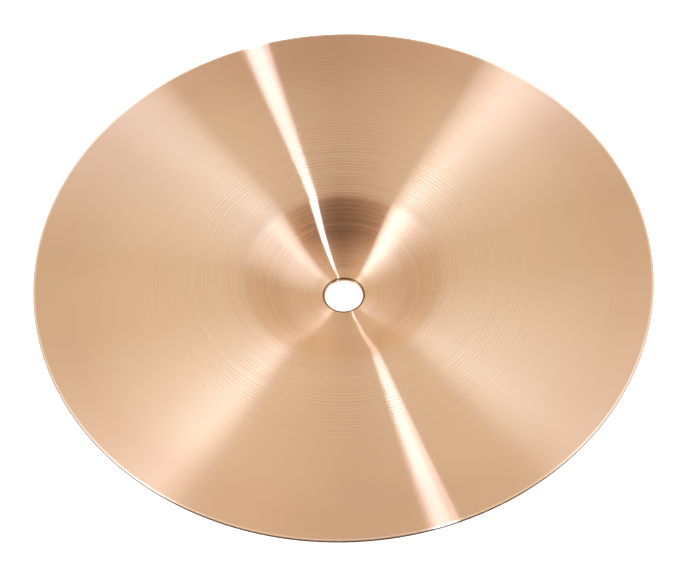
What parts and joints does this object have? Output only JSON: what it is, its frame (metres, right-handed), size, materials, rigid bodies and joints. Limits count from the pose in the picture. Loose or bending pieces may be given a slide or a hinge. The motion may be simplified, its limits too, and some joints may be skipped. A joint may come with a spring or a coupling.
{
  "type": "accent cymbal",
  "caption": "Small lathed bronze cymbal, one thin pressed sheet with a bell, a shallow bow and a central mounting hole, lying hollow side up.",
  "frame": {"origin": "on the cymbal's axis, at the flat ring on the bell's outer side that it lies on", "axes": "+Z along the axis towards the hollow side, so that the bell is down and the rim is up; the part is the same all round, so X and Y are free"},
  "size_m": [0.2032, 0.2032, 0.0229],
  "materials": {
    "bronze": "lathed in fine rings, bright, unlacquered look"
  },
  "bodies": {
    "root": {"cymbal": "bronze"}
  },
  "joints": []
}
